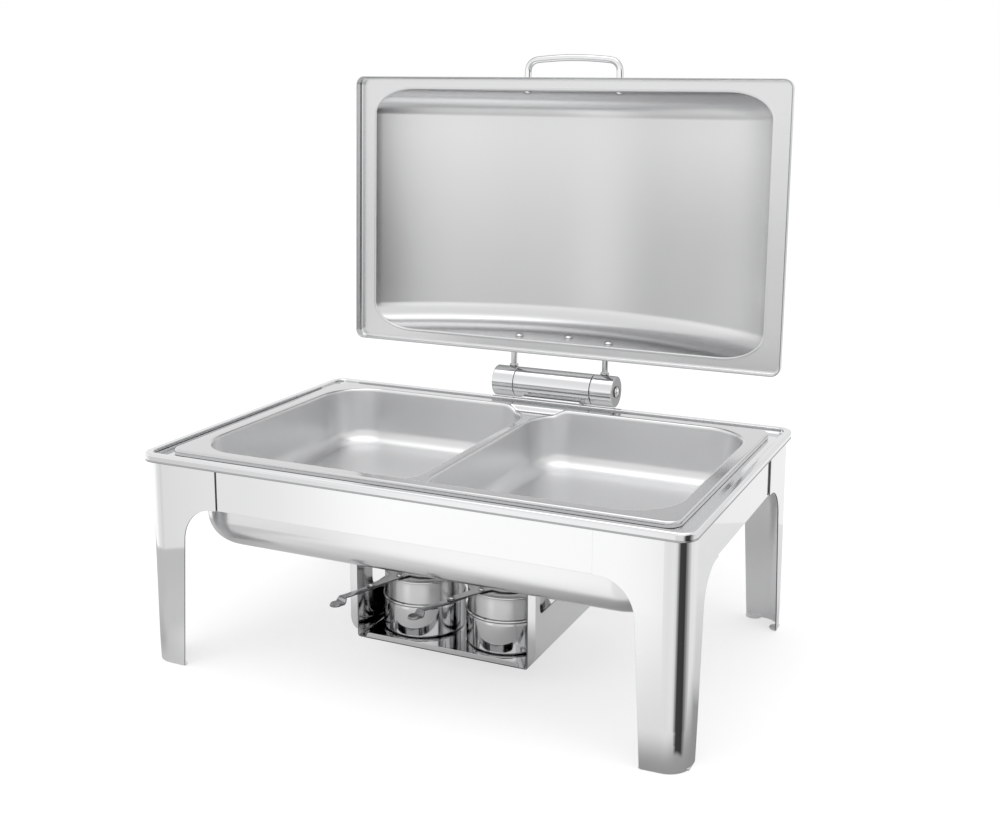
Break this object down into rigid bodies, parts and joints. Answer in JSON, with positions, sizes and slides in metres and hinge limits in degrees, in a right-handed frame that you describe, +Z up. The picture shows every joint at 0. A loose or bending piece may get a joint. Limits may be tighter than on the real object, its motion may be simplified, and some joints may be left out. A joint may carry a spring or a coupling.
{
  "type": "chafing dish food warmer",
  "caption": "Rectangular steel chafing dish: stand on legs, water pan, divided food pan, hinged arched lid with a bar handle, and fuel burners on a hung tray.",
  "frame": {"origin": "on the floor under the feet, at the centre of the outer box with the lid open (the rest pose)", "axes": "+Z up; +X to the right seen from the front, along the hinge; +Y from the front with the burner handles towards the hinge and the open lid"},
  "size_m": [0.57, 0.4886, 0.6114],
  "materials": {
    "satin_steel": "satin-polished stainless sheet with a fine one-way grain",
    "mirror_steel": "mirror-polished stainless sheet",
    "chrome_trim": "bright polished fittings and fasteners",
    "burner_steel": "drawn stainless, semi-bright, lightly turned"
  },
  "bodies": {
    "frame": {"leg_front_right": "mirror_steel", "leg_front_left": "mirror_steel", "leg_rear_right": "mirror_steel", "leg_rear_left": "mirror_steel", "front_apron": "mirror_steel", "rear_apron": "mirror_steel", "right_apron": "mirror_steel", "left_apron": "mirror_steel", "burner_tray": "mirror_steel", "tray_strap_front": "satin_steel", "tray_strap_rear": "satin_steel", "hinge_bracket": "mirror_steel", "hinge_barrel": "chrome_trim", "hinge_shaft": "burner_steel"},
    "water_pan": {"water_pan": "satin_steel"},
    "food_pan": {"food_pan": "satin_steel"},
    "lid": {"lid_shell": "satin_steel", "lid_handle": "chrome_trim", "handle_screw_left": "chrome_trim", "handle_screw_right": "chrome_trim", "lid_hinge_plate": "mirror_steel", "lid_hinge_screw_left": "chrome_trim", "lid_hinge_screw_middle": "chrome_trim", "lid_hinge_screw_right": "chrome_trim", "hinge_post_left": "chrome_trim", "hinge_post_right": "chrome_trim", "hinge_knuckle_left": "chrome_trim", "hinge_knuckle_right": "chrome_trim", "hinge_end_screw_left": "chrome_trim", "hinge_end_screw_right": "chrome_trim"},
    "burner_left": {"left_burner_can": "burner_steel", "left_burner_collar": "chrome_trim", "left_cover_pivot_pin": "chrome_trim"},
    "burner_cover_left": {"left_burner_cover": "chrome_trim", "left_burner_grip": "burner_steel", "left_grip_rivet": "chrome_trim"},
    "burner_right": {"right_burner_can": "burner_steel", "right_burner_collar": "chrome_trim", "right_cover_pivot_pin": "chrome_trim"},
    "burner_cover_right": {"right_burner_cover": "chrome_trim", "right_burner_grip": "burner_steel", "right_grip_rivet": "chrome_trim"}
  },
  "joints": [
    {"name": "lid_hinge", "type": "hinge", "parent": "frame", "child": "lid", "pos_m": [0, 0.14418, 0.2308], "axis": [-1, 0, 0], "range_deg": [-92, 0]},
    {"name": "water_pan_lift", "type": "slide", "parent": "frame", "child": "water_pan", "axis": [0, 0, 1], "range_m": [0, 0.12]},
    {"name": "food_pan_lift", "type": "slide", "parent": "water_pan", "child": "food_pan", "axis": [0, 0, 1], "range_m": [0, 0.08]},
    {"name": "burner_left_lift", "type": "slide", "parent": "frame", "child": "burner_left", "axis": [0, 0, 1], "range_m": [0, 0.02]},
    {"name": "burner_right_lift", "type": "slide", "parent": "frame", "child": "burner_right", "axis": [0, 0, 1], "range_m": [0, 0.02]},
    {"name": "left_cover_swivel", "type": "hinge", "parent": "burner_left", "child": "burner_cover_left", "pos_m": [-0.05952, -0.12231, 0.0829], "axis": [0, 0, 1], "range_deg": [0, 40]},
    {"name": "right_cover_swivel", "type": "hinge", "parent": "burner_right", "child": "burner_cover_right", "pos_m": [0.03294, -0.1208, 0.0829], "axis": [0, 0, 1], "range_deg": [0, 40]}
  ]
}
